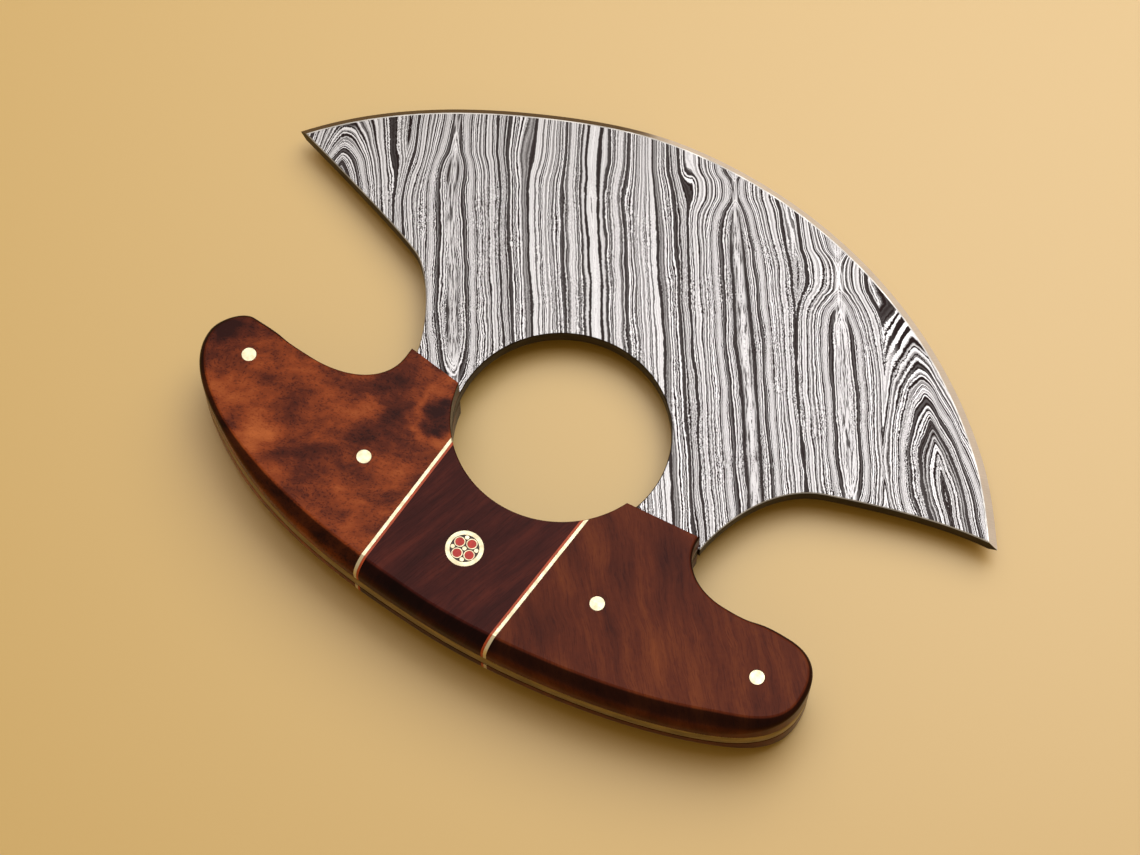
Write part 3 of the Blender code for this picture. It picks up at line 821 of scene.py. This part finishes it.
# a closed solid through rings of matching points; bandMaterial picks a face's material
def loft(name, rings, bandMaterial=None, closed=False):
    shape = bmesh.new()
    loops = [[shape.verts.new(point) for point in ring] for ring in rings]
    pairs = list(zip(loops, loops[1:] + loops[:1])) if closed else list(zip(loops, loops[1:]))
    for band, (low, high) in enumerate(pairs):
        count = len(low)
        for i in range(count):
            face = shape.faces.new((low[i], low[(i + 1) % count], high[(i + 1) % count], high[i]))
            if bandMaterial:
                face.material_index = bandMaterial(band, i)
    if not closed:
        shape.faces.new(loops[0][::-1])
        shape.faces.new(loops[-1])
    return finishMesh(name, shape)


def circle(radius, height, steps, centre=(0, 0), turn=0.0):
    angles = [turn + math.tau * i / steps for i in range(steps)]
    return [Vector((centre[0] + radius * math.cos(a), centre[1] + radius * math.sin(a), height))
            for a in angles]


# puts a mesh drawn in the knife's plan where the knife rests, and gives it to the frame
def addPiece(name, mesh, materials, nodes, sharp=25.0):
    mesh.transform(restMatrix @ Matrix.Scale(mm, 4))
    for material in materials:
        mesh.materials.append(material)
    if len(materials) == 1:
        for polygon in mesh.polygons:
            polygon.material_index = 0
    mesh.shade_smooth()
    mesh.set_sharp_from_angle(angle=math.radians(sharp))
    piece = bpy.data.objects.new(name, mesh)
    bpy.context.collection.objects.link(piece)
    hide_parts(*nodes)
    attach(piece, "root")


# a turned cutter through given (radius, height) pairs; its cut takes the second material
def turnedCutter(profile, centre, steps):
    rings = [circle(radius, height, steps, centre) for radius, height in profile]
    return loft("cutter", rings, lambda band, i: 1)


# the mesh without the cutters, all still drawn in the knife's plan
def cutMesh(mesh, cutters):
    body = bpy.data.objects.new("body", mesh)
    bpy.context.collection.objects.link(body)
    tools = []
    for cutter in cutters:
        tool = bpy.data.objects.new("tool", cutter)
        bpy.context.collection.objects.link(tool)
        tools.append(tool)
        modifier = body.modifiers.new("cut", "BOOLEAN")
        modifier.operation = "DIFFERENCE"
        modifier.solver = "EXACT"
        modifier.object = tool
    graph = bpy.context.evaluated_depsgraph_get()
    cut = bpy.data.meshes.new_from_object(body.evaluated_get(graph))
    for thing in [body] + tools:
        bpy.data.objects.remove(thing)
    return cut


# a hole through both faces that widens by a flare at each
def holeProfile(radius, face, flare):
    outer = radius + flare + cutOverrun
    return [(outer, -face - cutOverrun), (radius, -face + flare), (radius, face - flare),
            (outer, face + cutOverrun)]


def pinCutters(face):
    bores = [(pins["radius"], centre, pins["steps"]) for centre in pins["places"].values()]
    bores.append((mosaic["radius"], (0, 0), mosaic["steps"]))
    return [turnedCutter(holeProfile(radius + pins["seat"], face, pins["seatFlare"]), centre, steps)
            for radius, centre, steps in bores]


def makeBlade(looks):
    half, arris = halfPlate, blade["arris"]
    line, step = blade["brightLine"], blade["brightStep"]
    levels = []
    for height, inset in ((-half + step, arris - step), (-half + arris, 0), (0, 0), (half - arris, 0),
                          (half - step, arris - step)):
        levels.append((height, inset, blade["bevel"] * abs(height) / half))
    levels = [(-half, arris, blade["bevel"] + line), *levels, (half, arris, blade["bevel"] + line)]
    rings, kinds = [], []
    for height, inset, back in levels:
        ring, kinds = bladeRing(height, inset, back)
        rings.append(ring)

    # materials: 0 face, 1 wall, 2 arris, 3 bevel, 4 edge of the tang
    def pick(band, i):
        if kinds[i] == "edge":
            return 2 if band in (0, 5) else 3
        if kinds[i] == "tang":
            return 4
        return 1 if band in (2, 3) else 2

    mesh = loft("blade_and_tang", rings, pick)
    holeCutter = turnedCutter(holeProfile(hole["radius"], half, arris), (0, hole["y"]), hole["steps"])
    mesh = cutMesh(mesh, [holeCutter] + pinCutters(half))
    finishes = [looks[name] for name in ("steel", "wall", "arris", "bevel", "tangEdge")]
    addPiece("blade", mesh, finishes, ["blade_and_tang"])


# a whole scale before it is parted: upright walls, then a rounding up to the flat face
def scaleBlank(faceSide):
    top = handle["waistY"] + handle["topOverrun"]
    halves = []
    for side in (rightSide, leftSide):
        halves.append([Vector((side["waist"], top, handle["notchRound"]))] + handleOutline(side))
    right, left = halves
    spine = Vector((0, -handle["spineDepth"], handle["spineRound"]))
    outline = [spine] + right[::-1] + [Vector((-p.x, p.y, p.z)) for p in left]
    normals = insideNormals(outline)
    arc = math.radians(handle["roundArc"])
    rings = [[Vector((p.x, p.y, scaleBase * faceSide)) for p in outline]]
    for step in range(handle["roundSteps"] + 1):
        angle = arc * step / handle["roundSteps"]
        inset = (1 - math.cos(angle)) / (1 - math.cos(arc))
        climb = math.sin(angle) / math.sin(arc)
        rings.append([
            Vector((p.x, p.y, 0)) + normal * p.z * inset
            + Vector((0, 0, (scaleFace - p.z * handle["roundDrop"] * (1 - climb)) * faceSide))
            for p, normal in zip(outline, normals)])
    return loft("blank", rings)


def parted(blank, planes, name):
    shape = bmesh.new()
    shape.from_mesh(blank)
    for point, normal in planes:
        everything = shape.verts[:] + shape.edges[:] + shape.faces[:]
        bmesh.ops.bisect_plane(shape, geom=everything, plane_co=point, plane_no=normal,
                               clear_inner=True, dist=1e-5)
        bmesh.ops.holes_fill(shape, edges=[edge for edge in shape.edges if edge.is_boundary])
    return finishMesh(name, shape)


def jointPlane(side, offset, towardsHorn):
    lean = math.radians(side["lean"])
    outward = Vector((side["sign"] * math.cos(lean), -math.sin(lean), 0))
    point = Vector((side["sign"] * joint["x"], 0, 0)) + outward * offset
    return point, outward if towardsHorn else -outward


# the plane that ends a scale on the blade, and three more that soften its upper corner
def shoulderPlanes(side, faceSide):
    rise = math.radians(side["rise"])
    middle = side["sign"] * (side["waist"] + hole["radius"]) / 2
    down = Vector((side["sign"] * math.sin(rise), -math.cos(rise), 0))
    point = Vector((middle, side["shoulder"], 0))
    soft = handle["shoulderSoftening"]
    planes = [(point, down)]
    for angle in (22.5, 45.0, 67.5):
        a = math.radians(angle)
        tilted = down * math.cos(a) - Vector((0, 0, faceSide)) * math.sin(a)
        centre = point + down * soft + Vector((0, 0, faceSide * (scaleFace - soft)))
        planes.append((centre - tilted * soft, tilted))
    return planes


def makeHandleFace(face, faceSide, looks):
    blank = scaleBlank(faceSide)
    half = joint["room"] / 2
    brassOut = half - joint["film"]
    brassIn = brassOut - joint["brass"]
    fibreOut = brassIn - joint["glue"]
    fibreIn = fibreOut - joint["fibre"]
    glue = joint["glue"]
    centrePlanes = [jointPlane(side, fibreIn - glue, False) for side in (leftSide, rightSide)]
    parts = [(f"{face}_scale_centre", "centreWood", "dark_rosewood", centrePlanes)]
    for word, side, slot in (("left", leftSide, "amber_burl"), ("right", rightSide, "red_brown_wood")):
        parts += [
            (f"{face}_scale_{word}", f"{word}Wood", slot,
             [jointPlane(side, brassOut + glue, True)] + shoulderPlanes(side, faceSide)),
            (f"{face}_brass_{word}", "brass", "polished_brass",
             [jointPlane(side, brassIn, True), jointPlane(side, brassOut, False)]),
            (f"{face}_fibre_{word}", "fibre", "red_fibre",
             [jointPlane(side, fibreIn, True), jointPlane(side, fibreOut, False)]),
        ]
    holeShape = holeProfile(hole["radius"], scaleFace, handle["holeFlare"])
    cutters = [turnedCutter(holeShape, (0, hole["y"]), hole["steps"])] + pinCutters(scaleFace)
    pieceNames = {"scale": "wood", "brass": "brassStrip", "fibre": "fibreStrip"}
    for node, look, slot, planes in parts:
        mesh = cutMesh(parted(blank, planes, node), [cutter.copy() for cutter in cutters])
        kind, place = node.split("_")[1:]
        addPiece(f"{pieceNames[kind]}_{face}_{place}", mesh, [looks[look]], [node],
                 handle["sharpAngle"])


def rodProfile(radius, chamfer):
    return [(radius - chamfer, -scaleFace), (radius, -scaleFace + chamfer),
            (radius, scaleFace - chamfer), (radius - chamfer, scaleFace)]


def rod(name, radius, steps, centre, material, node, chamfer=0.03):
    rings = [circle(r, height, steps, centre) for r, height in rodProfile(radius, chamfer)]
    addPiece(name, loft(name, rings), [material], [node])


def tube(name, radius, bore, steps, centre, material, node, chamfer=0.03):
    profile = rodProfile(radius, chamfer)
    profile += [(bore + chamfer, scaleFace), (bore, scaleFace - chamfer),
                (bore, -scaleFace + chamfer), (bore + chamfer, -scaleFace)]
    rings = [circle(r, height, steps, centre) for r, height in profile]
    addPiece(name, loft(name, rings, closed=True), [material], [node])


def around(radius, turn, count=4):
    angles = [turn + math.tau * i / count for i in range(count)]
    return [(radius * math.cos(a), radius * math.sin(a)) for a in angles]


def makePins(looks):
    for word, centre in pins["places"].items():
        rod(f"plainPin_{word}", pins["radius"], pins["steps"], centre, looks["brass"], f"pin_{word}",
            pins["chamfer"])


def makeMosaic(looks):
    steps, small = mosaic["steps"], mosaic["smallSteps"]
    tube("mosaicTube", mosaic["radius"], mosaic["bore"], steps, (0, 0), looks["brass"],
         "mosaic_tube")
    turn = math.radians(mosaic["turn"])
    rods = [("centre", (0, 0))]
    rods += [(str(i + 1), centre)
             for i, centre in enumerate(around(mosaic["rodRing"], turn + math.radians(45)))]
    for word, centre in rods:
        rod(f"mosaicRod_{word}", mosaic["rodRadius"], small, centre, looks["brass"],
            f"mosaic_rod_{word}")
    smallBore = mosaic["smallRadius"] - mosaic["smallWall"]
    for i, centre in enumerate(around(mosaic["smallRing"], turn)):
        tube(f"mosaicSmallTube_{i + 1}", mosaic["smallRadius"], smallBore, small, centre,
             looks["brass"], f"mosaic_small_tube_{i + 1}")
        rod(f"mosaicCore_{i + 1}", smallBore - mosaic["film"], small, centre, looks["core"],
            f"mosaic_core_{i + 1}")
    bedding = scaleFace - mosaic["sunk"]
    resin = loft("resin", [circle(mosaic["bore"] - mosaic["film"], height, steps)
                           for height in (-bedding, bedding)])
    beds = [(centre, mosaic["rodRadius"]) for _, centre in rods]
    beds += [(centre, mosaic["smallRadius"]) for centre in around(mosaic["smallRing"], turn)]
    reach = scaleFace + mosaic["cutOverrun"]
    cutters = [turnedCutter([(radius + mosaic["film"], -reach), (radius + mosaic["film"], reach)],
                            centre, small) for centre, radius in beds]
    addPiece("mosaicResin", cutMesh(resin, cutters), [looks["resin"]], ["mosaic_resin"])


# floor: plain and pale
ground = {"tint": (0.60, 0.385, 0.065), "roughness": 0.5, "ior": 2.2, "reach": 3.0}


def addFloor():
    material, tree, shader = startMaterial("paleFloor")
    shader.inputs["Base Color"].default_value = (*ground["tint"], 1)
    shader.inputs["Roughness"].default_value = ground["roughness"]
    shader.inputs["IOR"].default_value = ground["ior"]
    shape = bmesh.new()
    bmesh.ops.create_grid(shape, x_segments=1, y_segments=1, size=ground["reach"])
    mesh = finishMesh("floor", shape)
    mesh.materials.append(material)
    floor = bpy.data.objects.new("floor", mesh)
    bpy.context.collection.objects.link(floor)


aimCamera()
lightRoom()
addFloor()
print("knife: camera, lights and floor")

looks = {
    "steel": foldedSteel(),
    "wall": wornSteel("etchedShadedWall"),
    "tangEdge": wornSteel("sandedTang"),
    "arris": wornSteel("brightArris"),
    "bevel": bevelSteel("groundBevel"),
    "brass": brass("paleBrass"),
    "fibre": plainPlastic("redFibre"),
    "core": plainPlastic("redCore"),
    "resin": plainPlastic("darkResin"),
    "leftWood": wood("amberBurl"),
    "centreWood": wood("darkRosewood"),
    "rightWood": wood("redBrownWood"),
}
print("knife: materials")

makeBlade(looks)
print("knife: blade")
makeHandleFace("front", 1, looks)
makeHandleFace("back", -1, looks)
print("knife: handle scales and joints")
makePins(looks)
makeMosaic(looks)
print("knife: pins")
